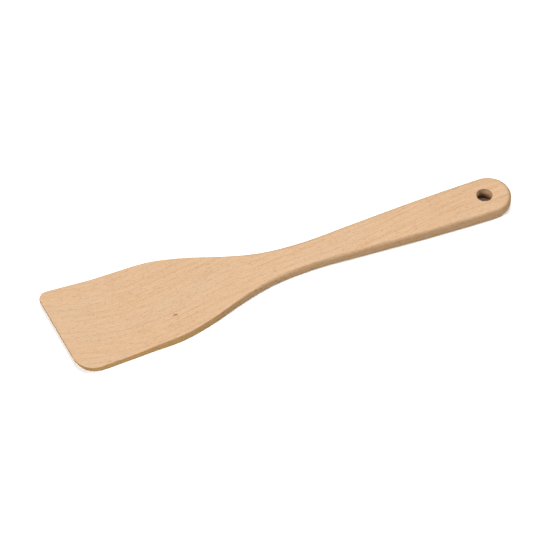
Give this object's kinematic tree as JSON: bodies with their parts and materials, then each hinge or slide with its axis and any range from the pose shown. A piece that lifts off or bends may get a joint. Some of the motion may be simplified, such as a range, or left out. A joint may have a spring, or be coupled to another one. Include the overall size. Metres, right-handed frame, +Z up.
{
  "type": "wooden kitchen turner",
  "caption": "Flat one-piece beech spatula: a wide blade with a slanted thin tip and unequal corners, flared shoulders, and a rounded handle with a hanging hole.",
  "frame": {"origin": "middle of the bounding box on the flat underside, which lies on the surface it rests on", "axes": "+X along the handle towards the round end with the hanging hole, -X towards the blade tip; +Y across the blade towards its leading corner; +Z up out of the top face"},
  "size_m": [0.3, 0.0656, 0.0093],
  "materials": {
    "beech": "bare fine-sanded steamed beech, matt, with lengthwise grain and short dark ray flecks"
  },
  "bodies": {
    "root": {"spatula": "beech"}
  },
  "joints": []
}
